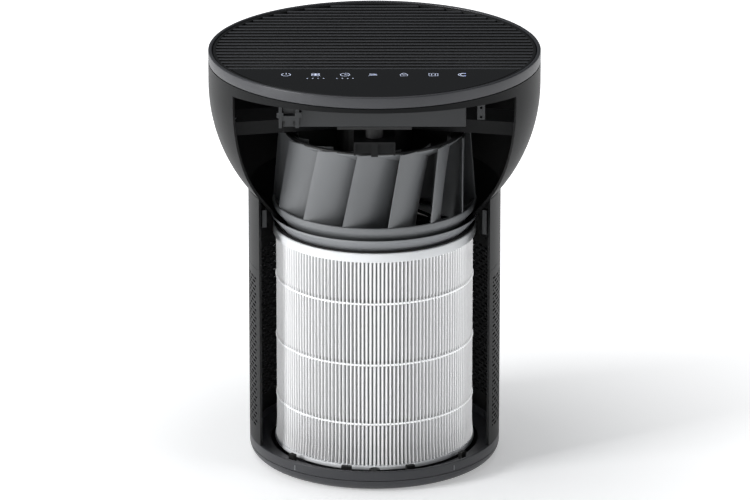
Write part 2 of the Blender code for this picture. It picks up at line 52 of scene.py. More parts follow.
bowlLow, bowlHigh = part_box("bowl_casing")
rimLow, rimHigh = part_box("rim_ring")
drumLow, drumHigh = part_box("intake_grille")
baseLow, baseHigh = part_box("base_ring")
coverLow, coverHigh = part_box("cover_dish")
mediaLow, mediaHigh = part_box("filter_media")
panelLow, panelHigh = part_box("touch_panel")
grilleLow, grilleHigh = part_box("outlet_grille")
shroudLow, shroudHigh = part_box("impeller_shroud")
wheelLow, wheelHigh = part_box("impeller_wheel")
bowlR, drumR = bowlHigh.x, baseHigh.x
topZ = rimHigh.z

# upright cut that opens the front: angles in degrees, lengths in metres
cutWedge = {
    "halfAngle": 33.5,
    "apexY": 0.1245,
    "topAtFront": topZ - 0.0164,
    "topAtSide": topZ - 0.0236,
    "sideY": -0.0897,
    "bottom": 0.0100,
    "front": -0.2000,
    "back": -0.0100,
}


def linearColor(hexText):
    channels = [int(hexText[i:i + 2], 16) / 255 for i in (1, 3, 5)]
    return [c / 12.92 if c <= 0.04045 else ((c + 0.055) / 1.055) ** 2.4 for c in channels] + [1.0]


def addNode(tree, kind, settings=None, links=None):
    found = tree.nodes.new(kind)
    for key, value in (settings or {}).items():
        if isinstance(key, int) or key in found.inputs:
            found.inputs[key].default_value = value
        else:
            setattr(found, key, value)
    for key, source in (links or {}).items():
        tree.links.new(source, found.inputs[key])
    return found


def startMaterial(name, color, roughness, metallic=0.0, ior=1.5):
    made = bpy.data.materials.new(name)
    made.use_nodes = True
    shader = made.node_tree.nodes["Principled BSDF"]
    shader.inputs["Base Color"].default_value = linearColor(color)
    shader.inputs["Roughness"].default_value = roughness
    shader.inputs["Metallic"].default_value = metallic
    if not metallic:
        shader.inputs["IOR"].default_value = ior
    made.diffuse_color = linearColor(color)
    return made, made.node_tree, shader


waveStep = math.tau / 20  # with this, a wave texture draws one band to each cell of a perMm scale


def perMm(size):
    return 1000.0 / size  # a texture scale whose cells are this many millimetres across


def grainedPlastic(name, low, high, roughLow, roughHigh, grainMm, bump, ior=1.5, shine=0.5):
    # injection moulded plastic from a spark-eroded tool: even fine grain, soft broad highlights
    made, tree, shader = startMaterial(name, low, roughLow, ior=ior)
    spot = addNode(tree, "ShaderNodeTexCoord").outputs["Object"]
    grain = addNode(tree, "ShaderNodeTexNoise", {"Scale": perMm(grainMm), "Detail": 3.0}, {"Vector": spot})
    cloud = addNode(tree, "ShaderNodeTexNoise", {"Scale": perMm(45.0), "Detail": 2.0}, {"Vector": spot})
    tint = addNode(tree, "ShaderNodeMix", {"data_type": "RGBA"}, {"Factor": cloud.outputs["Fac"]})
    tint.inputs["A"].default_value = linearColor(low)
    tint.inputs["B"].default_value = linearColor(high)
    tree.links.new(tint.outputs["Result"], shader.inputs["Base Color"])
    limits = {"To Min": roughLow, "To Max": roughHigh}
    rough = addNode(tree, "ShaderNodeMapRange", limits, {"Value": grain.outputs["Fac"]})
    tree.links.new(rough.outputs["Result"], shader.inputs["Roughness"])
    depth = {"Strength": bump, "Distance": 0.0001}
    relief = addNode(tree, "ShaderNodeBump", depth, {"Height": grain.outputs["Fac"]})
    tree.links.new(relief.outputs["Normal"], shader.inputs["Normal"])
    shader.inputs["Specular IOR Level"].default_value = shine
    return made


def makeMaterials():
    made = {}
    # ABS, moulded with a fine texture: black that lifts to grey where it faces a light
    made["case"] = grainedPlastic("absMouldedBlack", "#0f1011", "#141516", 0.46, 0.56, 0.9, 0.25, shine=0.20)
    # the bowl is polished a little more, and its colour is a slightly darker copy of the case black, painted shade
    # that keeps it darker face on; it lights up along its edge
    made["bowl"] = grainedPlastic("absMouldedBowl", "#0c0d0e", "#101112", 0.40, 0.50, 0.9, 0.25, shine=0.12)
    # the same ABS, slightly smoother, given a lighter grey colour as painted light: a lit copy of the black for
    # the rim, the base, the cover and the slats' tops
    made["satin"] = grainedPlastic("absMouldedSatin", "#303134", "#36373b", 0.38, 0.46, 0.9, 0.18)
    # ABS moulded plain inside the housing, rougher, with a darker copy of the black as painted shade for faces
    # that sit in shadow
    made["inner"] = grainedPlastic("absPlainInside", "#0c0c0d", "#111112", 0.55, 0.70, 1.2, 0.15)
    # PMMA over black print, polished: deep black with a sharp reflection
    made["panel"] = grainedPlastic("pmmaPolishedBlack", "#08090a", "#0a0b0c", 0.20, 0.26, 60.0, 0.0, 1.49, 0.16)
    # polypropylene with mineral filler, moulded: semi-matte mid grey
    made["fan"] = grainedPlastic("ppFilledGrey", "#6c6e70", "#747678", 0.42, 0.55, 1.1, 0.15)
    # a near-black copy of the fan's polypropylene, painted shade for the dished top of the wheel, which sits in
    # shadow
    made["hub"] = grainedPlastic("ppFilledDark", "#151617", "#1a1b1c", 0.50, 0.62, 1.1, 0.15)
    # ABS, moulded: dark grey brackets and boxes
    made["frame"] = grainedPlastic("absMouldedGrey", "#1d1f21", "#232527", 0.45, 0.58, 1.0, 0.15)
    # ABS, moulded: the motor's bracket, darker than the boxes round it
    made["bracket"] = grainedPlastic("absRibbedBlack", "#0a0b0c", "#0f1011", 0.50, 0.62, 1.0, 0.15, shine=0.20)
    # ABS with little black in it, moulded: the lightest grey in the housing
    made["orifice"] = grainedPlastic("absMouldedLightGrey", "#808285", "#888a8d", 0.45, 0.58, 1.0, 0.15)
    # polypropylene, moulded white: smooth and slightly waxy
    made["filterRim"] = grainedPlastic("ppMouldedWhite", "#e2e4e6", "#eaecee", 0.42, 0.54, 2.0, 0.08)
    # silicone rubber, moulded: dull black
    made["rubber"] = grainedPlastic("rubberMoulded", "#161617", "#1c1c1d", 0.80, 0.92, 0.8, 0.30)
    made["pleats"] = makeFleece()
    made["glue"] = makeGlue()
    made["carbon"] = makeCarbon()
    made["steel"] = makeSteel()
    made["copper"] = makeCopper()
    made["board"] = makeBoard()
    made["print"] = makePrint()
    print("materials:", len(made))
    return made


def makeFleece():
    # melt-blown polypropylene fleece, pleated: white, fibrous, no shine
    made, tree, shader = startMaterial("ppMeltBlownFleece", "#f4f5f7", 0.95)
    spot = addNode(tree, "ShaderNodeTexCoord").outputs["Object"]
    stretch = addNode(tree, "ShaderNodeMapping", {"Scale": (1.0, 1.0, 0.25)}, {"Vector": spot})
    threadSize = {"Scale": perMm(0.9), "Detail": 4.0}
    fibres = addNode(tree, "ShaderNodeTexNoise", threadSize, {"Vector": stretch.outputs["Vector"]})
    tint = addNode(tree, "ShaderNodeMix", {"data_type": "RGBA"}, {"Factor": fibres.outputs["Fac"]})
    tint.inputs["A"].default_value = linearColor("#dedfe0")
    tint.inputs["B"].default_value = linearColor("#f3f3f4")
    # painted shade: grey towards the bottom of each fold, where little light gets in
    level = addNode(tree, "ShaderNodeVectorMath", {"operation": "MULTIPLY", 1: (1.0, 1.0, 0.0)}, {0: spot})
    radius = addNode(tree, "ShaderNodeVectorMath", {"operation": "LENGTH"}, {0: level.outputs["Vector"]})
    limits = {"From Min": mediaHigh.x - 0.0056, "From Max": mediaHigh.x - 0.0010}
    depth = addNode(tree, "ShaderNodeMapRange", limits, {"Value": radius.outputs["Value"]})
    shaded = addNode(tree, "ShaderNodeMix", {"data_type": "RGBA"}, {"Factor": depth.outputs["Result"]})
    shaded.inputs["A"].default_value = linearColor("#929292")
    tree.links.new(tint.outputs["Result"], shaded.inputs["B"])
    tree.links.new(shaded.outputs["Result"], shader.inputs["Base Color"])
    fuzz = {"Strength": 0.35, "Distance": 0.0002}
    relief = addNode(tree, "ShaderNodeBump", fuzz, {"Height": fibres.outputs["Fac"]})
    tree.links.new(relief.outputs["Normal"], shader.inputs["Normal"])
    shader.inputs["Sheen Weight"].default_value = 0.25
    return made


def makeGlue():
    # hot-melt glue, laid as a thread: glossy white beads where it crosses each fold
    made, tree, shader = startMaterial("hotMeltThread", "#f6f7f8", 0.28, ior=1.48)
    spot = addNode(tree, "ShaderNodeTexCoord").outputs["Object"]
    drops = addNode(tree, "ShaderNodeTexNoise", {"Scale": perMm(3.0), "Detail": 1.0}, {"Vector": spot})
    limits = {"To Min": 0.20, "To Max": 0.40}
    rough = addNode(tree, "ShaderNodeMapRange", limits, {"Value": drops.outputs["Fac"]})
    tree.links.new(rough.outputs["Result"], shader.inputs["Roughness"])
    return made


def makeCarbon():
    # activated carbon granules, bonded: black crumbs of 1.5 mm
    made, tree, shader = startMaterial("carbonBonded", "#0d0d0d", 0.9)
    spot = addNode(tree, "ShaderNodeTexCoord").outputs["Object"]
    crumbs = addNode(tree, "ShaderNodeTexVoronoi", {"Scale": perMm(1.5)}, {"Vector": spot})
    shade = addNode(tree, "ShaderNodeMix", {"data_type": "RGBA"}, {"Factor": crumbs.outputs["Distance"]})
    shade.inputs["A"].default_value = linearColor("#1d1d1d")
    shade.inputs["B"].default_value = linearColor("#060606")
    tree.links.new(shade.outputs["Result"], shader.inputs["Base Color"])
    pits = {"Strength": 0.7, "Distance": 0.0006, "invert": True}
    relief = addNode(tree, "ShaderNodeBump", pits, {"Height": crumbs.outputs["Distance"]})
    tree.links.new(relief.outputs["Normal"], shader.inputs["Normal"])
    return made


def makeSteel():
    # mild steel, turned and zinc plated: rings round the axis, drawn 3.8 mm apart so that they show
    made, tree, shader = startMaterial("steelTurned", "#b9bcc0", 0.32, metallic=1.0)
    spot = addNode(tree, "ShaderNodeTexCoord").outputs["Object"]
    feed = {"Scale": perMm(3.8) * waveStep, "Distortion": 0.4, "bands_direction": "Z"}
    rings = addNode(tree, "ShaderNodeTexWave", feed, {"Vector": spot})
    limits = {"To Min": 0.24, "To Max": 0.42}
    rough = addNode(tree, "ShaderNodeMapRange", limits, {"Value": rings.outputs["Fac"]})
    tree.links.new(rough.outputs["Result"], shader.inputs["Roughness"])
    groove = {"Strength": 0.15, "Distance": 0.0001}
    relief = addNode(tree, "ShaderNodeBump", groove, {"Height": rings.outputs["Fac"]})
    tree.links.new(relief.outputs["Normal"], shader.inputs["Normal"])
    return made


def makeCopper():
    # enamelled copper wire, wound: warm stripes, drawn 5 mm apart so that they show
    made, tree, shader = startMaterial("copperWound", "#b4653a", 0.35, metallic=1.0)
    spot = addNode(tree, "ShaderNodeTexCoord").outputs["Object"]
    winding = {"Scale": perMm(5.0) * waveStep, "bands_direction": "Z"}
    turns = addNode(tree, "ShaderNodeTexWave", winding, {"Vector": spot})
    tint = addNode(tree, "ShaderNodeMix", {"data_type": "RGBA"}, {"Factor": turns.outputs["Fac"]})
    tint.inputs["A"].default_value = linearColor("#6d3517")
    tint.inputs["B"].default_value = linearColor("#c9794a")
    tree.links.new(tint.outputs["Result"], shader.inputs["Base Color"])
    return made


def makeBoard():
    # glass-epoxy board, solder masked: green with copper tracks showing through
    made, tree, shader = startMaterial("epoxyMaskedBoard", "#0f4a2a", 0.35, ior=1.55)
    spot = addNode(tree, "ShaderNodeTexCoord").outputs["Object"]
    layout = {"Scale": perMm(9.0), "Mortar Size": 0.08}
    tracks = addNode(tree, "ShaderNodeTexBrick", layout, {"Vector": spot})
    tracks.inputs["Color1"].default_value = linearColor("#0e4326")
    tracks.inputs["Color2"].default_value = linearColor("#124f2e")
    tracks.inputs["Mortar"].default_value = linearColor("#2b7a4b")
    tree.links.new(tracks.outputs["Color"], shader.inputs["Base Color"])
    return made


def makePrint():
    # LED light through a frosted print: even cool white glow
    made, tree, shader = startMaterial("frostedPrintLit", "#dfe8ff", 0.5)
    spot = addNode(tree, "ShaderNodeTexCoord").outputs["Object"]
    spread = addNode(tree, "ShaderNodeTexNoise", {"Scale": perMm(6.0), "Detail": 1.0}, {"Vector": spot})
    glow = addNode(tree, "ShaderNodeMix", {"data_type": "RGBA"}, {"Factor": spread.outputs["Fac"]})
    glow.inputs["A"].default_value = linearColor("#b9caf5")
    glow.inputs["B"].default_value = linearColor("#e6ecff")
    tree.links.new(glow.outputs["Result"], shader.inputs["Emission Color"])
    shader.inputs["Emission Strength"].default_value = 0.45
    return made


finish = makeMaterials()


def addPiece(name, mesh, material, body, replaced=(), sharpAngle=35.0):
    obj = bpy.data.objects.new(name, mesh)
    bpy.context.scene.collection.objects.link(obj)
    if not mesh.materials:
        for each in material if isinstance(material, (list, tuple)) else [material]:
            mesh.materials.append(each)
    if sharpAngle:
        mesh.shade_smooth()
        mesh.set_sharp_from_angle(angle=math.radians(sharpAngle))
    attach(obj, body)
    if replaced:
        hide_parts(*replaced)
    return obj


def turnedPiece(name, outline, look, body, slotName, node, sharpAngle=35.0, closed=True):
    mesh = latheMesh(name, outline, 240, closed)
    return addPiece(name, mesh, finish[look], body, (node,), sharpAngle)


def faceOutward(mesh):
    build = bmesh.new()
    build.from_mesh(mesh)
    bmesh.ops.recalc_face_normals(build, faces=build.faces)
    build.to_mesh(mesh)
    build.free()
    return mesh


def meshOf(name, points, faces):
    mesh = bpy.data.meshes.new(name)
    mesh.from_pydata([tuple(p) for p in points], [], faces)
    mesh.validate()
    return mesh


def rounded(outline, radius, segments=3, closed=True):
    # each corner becomes a short curve that starts and ends this far from it
    result = []
    count = len(outline)
    for i, corner in enumerate(outline):
        here = Vector((corner[0], corner[1]))
        if not closed and i in (0, count - 1):
            result.append(tuple(here))
            continue
        before, after = Vector(outline[i - 1][:2]) - here, Vector(outline[(i + 1) % count][:2]) - here
        reach = min(radius, 0.4 * before.length, 0.4 * after.length)
        turn = before.angle(after, math.pi)
        if reach < 1e-6 or turn > math.radians(165):
            result.append(tuple(here))
            continue
        start, end = here + before.normalized() * reach, here + after.normalized() * reach
        for k in range(segments + 1):
            t = k / segments
            result.append(tuple((1 - t) ** 2 * start + 2 * t * (1 - t) * here + t * t * end))
    return result


def latheMesh(name, outline, steps=180, closed=True):
    # outline of (radius, height), turned about Z; a point on the axis becomes one vertex
    points, rows, faces = [], [], []
    for radius, height in outline:
        if radius < 1e-6:
            rows.append([len(points)] * steps)
            points.append((0.0, 0.0, height))
            continue
        rows.append(list(range(len(points), len(points) + steps)))
        for k in range(steps):
            angle = math.tau * k / steps
            points.append((radius * math.cos(angle), radius * math.sin(angle), height))
    pairs = list(zip(rows, rows[1:])) + ([(rows[-1], rows[0])] if closed else [])
    for upper, lower in pairs:
        for k in range(steps):
            n = (k + 1) % steps
            corners = list(dict.fromkeys([upper[k], lower[k], lower[n], upper[n]]))
            if len(corners) > 2:
                faces.append(corners)
    return faceOutward(meshOf(name, points, faces))


def makeWedge():
    # the solid that opens the front, with upright sides that spread forwards under a sloping top
    side = math.tan(math.radians(cutWedge["halfAngle"]))
    slope = (cutWedge["topAtFront"] - cutWedge["topAtSide"]) / (-bowlR - cutWedge["sideY"])
    low = cutWedge["bottom"]
    points = []
    for y in (cutWedge["front"], cutWedge["back"]):
        half = side * (cutWedge["apexY"] - y)
        top = cutWedge["topAtFront"] + slope * (y + bowlR)
        points += [(-half, y, low), (half, y, low), (half, y, top), (-half, y, top)]
    faces = [(0, 1, 2, 3), (7, 6, 5, 4), (0, 4, 5, 1), (1, 5, 6, 2), (2, 6, 7, 3), (3, 7, 4, 0)]
    mesh = meshOf("frontWedge", points, faces)
    obj = bpy.data.objects.new("frontWedge", mesh)
    bpy.context.scene.collection.objects.link(obj)
    return obj


def opened(mesh, cutter):
    # the same mesh with the cutter's shape taken out
    holder = bpy.data.objects.new("holder", mesh)
    bpy.context.scene.collection.objects.link(holder)
    cut = holder.modifiers.new("Open", "BOOLEAN")
    cut.operation = "DIFFERENCE"
    cut.object = cutter
    bpy.context.view_layer.update()
    graph = bpy.context.evaluated_depsgraph_get()
    result = bpy.data.meshes.new_from_object(holder.evaluated_get(graph))
    bpy.data.objects.remove(holder)
    result.name = mesh.name
    return result


def softened(node, width, material):
    # the CAD node's own shape with its corners eased
    source = frame["nodes"][node]
    mesh = source.data.copy()
    mesh.materials.clear()
    build = bmesh.new()
    build.from_mesh(mesh)
    bmesh.ops.remove_doubles(build, verts=build.verts, dist=0.00002)
    bmesh.ops.dissolve_limit(build, angle_limit=math.radians(1.0), verts=build.verts, edges=build.edges)
    build.to_mesh(mesh)
    build.free()
    body = next(name for name, members in frame["record"]["behaviour"]["bodies"].items() if node in members)
    words = node.split("_")
    pieceName = words[0] + "".join(word.title() for word in words[1:])
    obj = addPiece(pieceName, mesh, material, body, (node,), 30.0)
    ease = obj.modifiers.new("Ease", "BEVEL")
    ease.width = width
    ease.segments = 2
    ease.limit_method = "ANGLE"
    ease.angle_limit = math.radians(40)
    ease.harden_normals = True
    return obj


def frontPoint(radius, angle, z=0.0):
    return Vector((radius * math.sin(angle), -radius * math.cos(angle), z))


wedge = makeWedge()


# a sphere above a cone; the cone starts where the sphere is as narrow as the drum
bowlShape = {"wall": 0.0030, "sphereZ": topZ - 0.035, "coneTopR": drumR, "coneEndR": 0.0972, "arcSteps": 26}


def coneHeight(radius, drop=0.0):
    slope = math.sqrt(bowlR ** 2 - drumR ** 2) / drumR
    tilt = math.asin(math.sqrt(bowlR ** 2 - drumR ** 2) / bowlR)
    top = bowlShape["sphereZ"] - math.sqrt(bowlR ** 2 - drumR ** 2)
    return top - (drumR - radius) / slope - drop / math.sin(tilt)


def makeBowl():
    s = bowlShape
    end = math.acos(s["coneTopR"] / bowlR)
    arc = [end * i / s["arcSteps"] for i in range(s["arcSteps"] + 1)]
    top = bowlHigh.z
    outer = [(bowlR, top)] + [(bowlR * math.cos(a), s["sphereZ"] - bowlR * math.sin(a)) for a in arc]
    outer.append((s["coneEndR"], coneHeight(s["coneEndR"])))
    inR = bowlR - s["wall"]
    across, up = s["wall"] * math.cos(end), s["wall"] * math.sin(end)
    inner = [(s["coneEndR"] - across, coneHeight(s["coneEndR"]) + up)]
    inner += [(inR * math.cos(a), s["sphereZ"] - inR * math.sin(a)) for a in reversed(arc)]
    inner.append((inR, top))
    mesh = opened(latheMesh("bowlShell", outer + inner, 240), wedge)
    # painted shade: the shell's inside face takes the darker inside copy of the black
    mesh.materials.clear()
    mesh.materials.append(finish["bowl"])
    mesh.materials.append(finish["inner"])
    for face in mesh.polygons:
        centre = face.center
        radial = Vector((centre.x, centre.y, 0)).normalized()
        inward = face.normal.dot(radial) < -0.2
        depth = math.hypot(math.hypot(centre.x, centre.y), min(centre.z - s["sphereZ"], 0))
        face.material_index = 1 if inward and depth < bowlR - 0.5 * s["wall"] else 0
    return addPiece("bowlShell", mesh, None, "housing", ("bowl_casing",))


rimShape = {
    "edge": 0.0014,
    "topWidth": 0.0038,
    "seatR": 0.1590,
    "skirt": 0.0034,
    "gap": 0.0004,
    "shelf": 0.0012,
}


def makeRim():
    shape = rimShape
    seat, inner, skirt = shape["seatR"], bowlR - shape["topWidth"], bowlR - shape["skirt"]
    low = bowlHigh.z + shape["gap"]
    shelf = low + shape["shelf"]
    outline = [(bowlR, topZ), (bowlR, low), (skirt, low), (skirt, rimLow.z)]
    outline += [(seat, rimLow.z), (seat, shelf), (inner, shelf), (inner, topZ)]
    outline = rounded(outline, shape["edge"], 4)
    return turnedPiece("rimRing", outline, "satin", "housing", "case_black", "rim_ring")


slats = {
    "pitch": 0.01047,
    "count": 22,
    "width": 0.0045,
    "edge": 0.0007,
    "footShare": 0.4,
    "firstFromPanel": 0.0030,
    "ringWidth": 0.0035,
    "ringEdge": 0.0010,
    "intoRing": 0.0018,
}
outletRibs = {
    "places": (-0.0800, 0.0, 0.0800),
    "fromPanel": 0.0032,
    "width": 0.0032,
    "low": 0.0006,
    "high": 0.0034,
    "edge": 0.0005,
}


def roundedBar(points, faces, start, end, low, high, half, edge, footShare=1.0):
    # a bar along X between two ends, with eased edges and a narrower foot
    foot = half * footShare
    section = rounded([(-foot, low), (foot, low), (half, high), (-half, high)], edge, 3)
    first = len(points)
    for x in (start, end):
        for y, z in section:
            points.append((x, y, z))
    count = len(section)
    for i in range(count):
        j = (i + 1) % count
        faces.append((first + i, first + j, first + count + j, first + count + i))
    faces.append(tuple(first + i for i in reversed(range(count))))
    faces.append(tuple(first + count + i for i in range(count)))


def makeOutlet():
    shape, ribs = slats, outletRibs
    ringR, innerR = grilleHigh.x, grilleHigh.x - slats["ringWidth"]
    low, high = grilleLow.z, grilleHigh.z
    reach = ringR - shape["intoRing"]
    outline = rounded([(ringR, high), (ringR, low), (innerR, low), (innerR, high)], shape["ringEdge"], 4)
    ring = turnedPiece("outletRing", outline, "case", "housing", "case_black", "outlet_grille")
    points, faces = [], []
    for index in range(shape["count"]):
        y = panelHigh.y + shape["firstFromPanel"] + shape["pitch"] * index
        half = math.sqrt(reach ** 2 - (abs(y) + shape["width"] / 2) ** 2)
        first = len(points)
        ends = (-half, half, low + 0.0003, high - 0.0004)
        roundedBar(points, faces, *ends, shape["width"] / 2, shape["edge"], shape["footShare"])
        points[first:] = [(x, y + dy, z) for x, dy, z in points[first:]]
    mesh = meshOf("outletSlats", points, faces)
    mesh.materials.append(finish["satin"])
    mesh.materials.append(finish["inner"])
    for face in mesh.polygons:
        face.material_index = 0 if face.normal.z > 0.3 else 1  # painted light: lighter lit copy on the tops, darker shaded copy on the sides
    addPiece("outletSlats", mesh, None, "housing")
    points, faces = [], []
    for x in ribs["places"]:
        back = math.sqrt(reach ** 2 - (abs(x) + 0.0020) ** 2)
        first = len(points)
        ends = (panelHigh.y + ribs["fromPanel"], back, low + ribs["low"], low + ribs["high"])
        roundedBar(points, faces, *ends, ribs["width"] / 2, ribs["edge"])
        points[first:] = [(x + dx, y, z) for y, dx, z in points[first:]]
    mesh = faceOutward(meshOf("outletRibs", points, faces))
    addPiece("outletRibs", mesh, finish["case"], "housing")
    return ring


def makePanel():
    radius, z0, z1 = -panelLow.y, panelLow.z, panelHigh.z
    edgeY = panelHigh.y
    halfAngle = math.acos(-edgeY / radius)
    steps = 120
    arc = [frontPoint(radius, -halfAngle + 2 * halfAngle * i / steps) for i in range(steps + 1)]
    build = bmesh.new()
    lower = [build.verts.new((p.x, p.y, z0)) for p in arc]
    upper = [build.verts.new((p.x, p.y, z1)) for p in arc]
    build.faces.new(lower[::-1])
    build.faces.new(upper)
    for i in range(len(arc)):
        j = (i + 1) % len(arc)
        build.faces.new((lower[i], lower[j], upper[j], upper[i]))
    bmesh.ops.recalc_face_normals(build, faces=build.faces)
    mesh = bpy.data.meshes.new("touchGlass")
    build.to_mesh(mesh)
    build.free()
    obj = addPiece("touchGlass", mesh, finish["panel"], "housing", ("touch_panel",))
    ease = obj.modifiers.new("Ease", "BEVEL")
    ease.width = 0.0006
    ease.segments = 3
    ease.limit_method = "ANGLE"
    ease.angle_limit = math.radians(60)
    return obj


symbols = {
    "spacing": 0.0297,
    "fromEdge": 0.0200,
    "stroke": 0.0007,
    "lift": 0.00008,
    "dotSpacing": 0.0054,
    "dotsForward": 0.0125,
    "dotR": 0.0008,
}


def ribbon(build, path, width, closed=False):
    # a flat stroke along a path of (x, y), with square ends
    count = len(path)
    sides = []
    for i in range(count):
        before = Vector(path[i - 1]) if closed or i else Vector(path[0])
        after = Vector(path[(i + 1) % count]) if closed or i < count - 1 else Vector(path[-1])
        along = (after - before).normalized()
        side = Vector((-along.y, along.x)) * width / 2
        here = Vector(path[i])
        sides.append([build.verts.new((*(here + side), 0)), build.verts.new((*(here - side), 0))])
    for i in range(count if closed else count - 1):
        (a, b), (c, d) = sides[i], sides[(i + 1) % count]
        build.faces.new((a, b, d, c))


def ringPath(radius, start=0.0, end=360.0, centre=(0.0, 0.0), steps=28, squash=1.0):
    angles = [math.radians(start + (end - start) * i / steps) for i in range(steps + 1)]
    return [(centre[0] + radius * math.cos(a), centre[1] + radius * squash * math.sin(a)) for a in angles]


def filled(build, path):
    build.faces.new([build.verts.new((x, y, 0)) for x, y in path])


def drawPower(build, w):
    ribbon(build, ringPath(0.0045, 120, 420), w)
    ribbon(build, [(0, 0.0008), (0, 0.0058)], w)


def drawFan(build, w):
    for quarter in range(4):
        a = math.radians(45 + 90 * quarter)
        centre = (0.0030 * math.cos(a), 0.0030 * math.sin(a))
        ribbon(build, ringPath(0.0019, 0, 345, centre, 16), w, closed=True)
    filled(build, ringPath(0.0008, 0, 330, steps=10))


def drawTimer(build, w):
    ribbon(build, ringPath(0.0047, 0, 360), w)
    ribbon(build, [(0, 0.0028), (0, 0), (0.0026, 0)], w)


def drawLeaf(build, w):
    upper = ringPath(0.0068, 30, 100, (-0.0035, -0.0040), 12)
    lower = ringPath(0.0068, 210, 280, (0.0012, 0.0048), 12)
    ribbon(build, upper + lower, w, closed=True)
    ribbon(build, [(-0.0058, -0.0038), (0.0016, 0.0020)], w)


def drawLock(build, w):
    ribbon(build, [(-0.0036, -0.0042), (0.0036, -0.0042), (0.0036, 0.0012), (-0.0036, 0.0012)], w, closed=True)
    ribbon(build, ringPath(0.0024, 0, 180, (0, 0.0016), 14, 1.4), w)
    ribbon(build, [(0, -0.0026), (0, -0.0008)], w)


def drawFilter(build, w):
    ribbon(build, [(-0.0045, 0.0042), (0.0045, 0.0042), (0.0045, -0.0042), (-0.0045, -0.0042)], w, closed=True)
    for x in (-0.0018, 0.0018):
        ribbon(build, [(x, -0.0026), (x, 0.0026)], w)


def drawNight(build, w):
    outer = ringPath(0.0047, 50, 310, steps=24)
    inner = ringPath(0.0040, 292, 68, (0.0015, 0.0), 20)
    ribbon(build, outer + inner, w, closed=True)


def makeSymbols():
    w = symbols["stroke"]
    rowY = panelHigh.y - symbols["fromEdge"]
    drawings = (drawPower, drawFan, drawTimer, drawLeaf, drawLock, drawFilter, drawNight)
    names = ("power", "fan", "timer", "eco", "lock", "filter", "night")
    for index, (name, draw) in enumerate(zip(names, drawings)):
        build = bmesh.new()
        draw(build, w)
        if name in ("fan", "timer"):
            for k in range(4):
                centre = (symbols["dotSpacing"] * (k - 1.5), -symbols["dotsForward"])
                filled(build, ringPath(symbols["dotR"], 0, 330, centre, 10))
        mesh = bpy.data.meshes.new(name + "Symbol")
        build.to_mesh(mesh)
        build.free()
        spot = (symbols["spacing"] * (index - 3), rowY, panelHigh.z + symbols["lift"])
        mesh.transform(Matrix.Translation(spot))
        addPiece(name + "Symbol", mesh, finish["print"], "housing", sharpAngle=0)


makeBowl()
makeRim()
makeOutlet()
makePanel()
makeSymbols()
print("bowl, rim, outlet and panel done")


intake = {
    "wall": 0.0035,
    "firstRow": 0.0410,
    "lastRow": 0.2020,
    "rowPitch": 0.00435,
    "slotHeight": 0.0021,
    "slots": 44,
    "slotShare": 0.72,
}

inletLow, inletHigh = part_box("power_inlet")
inletRoom = {"gap": 0.0005, "frame": 0.0050}
inletPins = {"radius": 0.0011, "apart": 0.0084, "start": 0.1187, "length": 0.0080, "taper": 0.0010}
sensorSlots = {
    "count": 3,
    "first": 0.2410,
    "step": 0.0060,
    "height": 0.0028,
    "half": 0.0120,
    "depth": (0.1200, 0.1400),
}


def cutAzimuth(radius):
    # angle from the front at which the wedge's side meets a circle of this radius
    t = math.tan(math.radians(cutWedge["halfAngle"]))
    apex = cutWedge["apexY"]
    a, b, c = 1 + t * t, 2 * t * t * apex, t * t * apex * apex - radius * radius
    y = (2 * t * t * apex - math.sqrt(b * b - 4 * a * c)) / (2 * a)
    return math.acos(-y / radius)


def slotRow(height):
    # the number of the row of slots at this height, or None between the rows
    row = math.floor((height - intake["firstRow"]) / intake["rowPitch"])
    above = height - intake["firstRow"] - row * intake["rowPitch"]
    count = math.ceil((intake["lastRow"] - intake["firstRow"]) / intake["rowPitch"])
    return row if 0 <= row < count and above < intake["slotHeight"] else None


def isOpen(turn, height, inletHalf, margin):
    # whether the wall has an opening here: the inlet's window at the back, or one of the staggered slots
    s, low, high = intake, inletLow.z - inletRoom["gap"], inletHigh.z + inletRoom["gap"]
    fromBack = abs(turn - 0.5)
    if fromBack < inletHalf and low < height < high:
        return True
    if fromBack < inletHalf + margin and low - inletRoom["frame"] < height < high + inletRoom["frame"]:
        return False
    row, place = slotRow(height), turn * s["slots"]
    if row is None or place < s["slotShare"] or place > s["slots"] - 1.5 + s["slotShare"]:
        return False
    return (place - 0.5 * (row % 2)) % 1.0 < s["slotShare"]


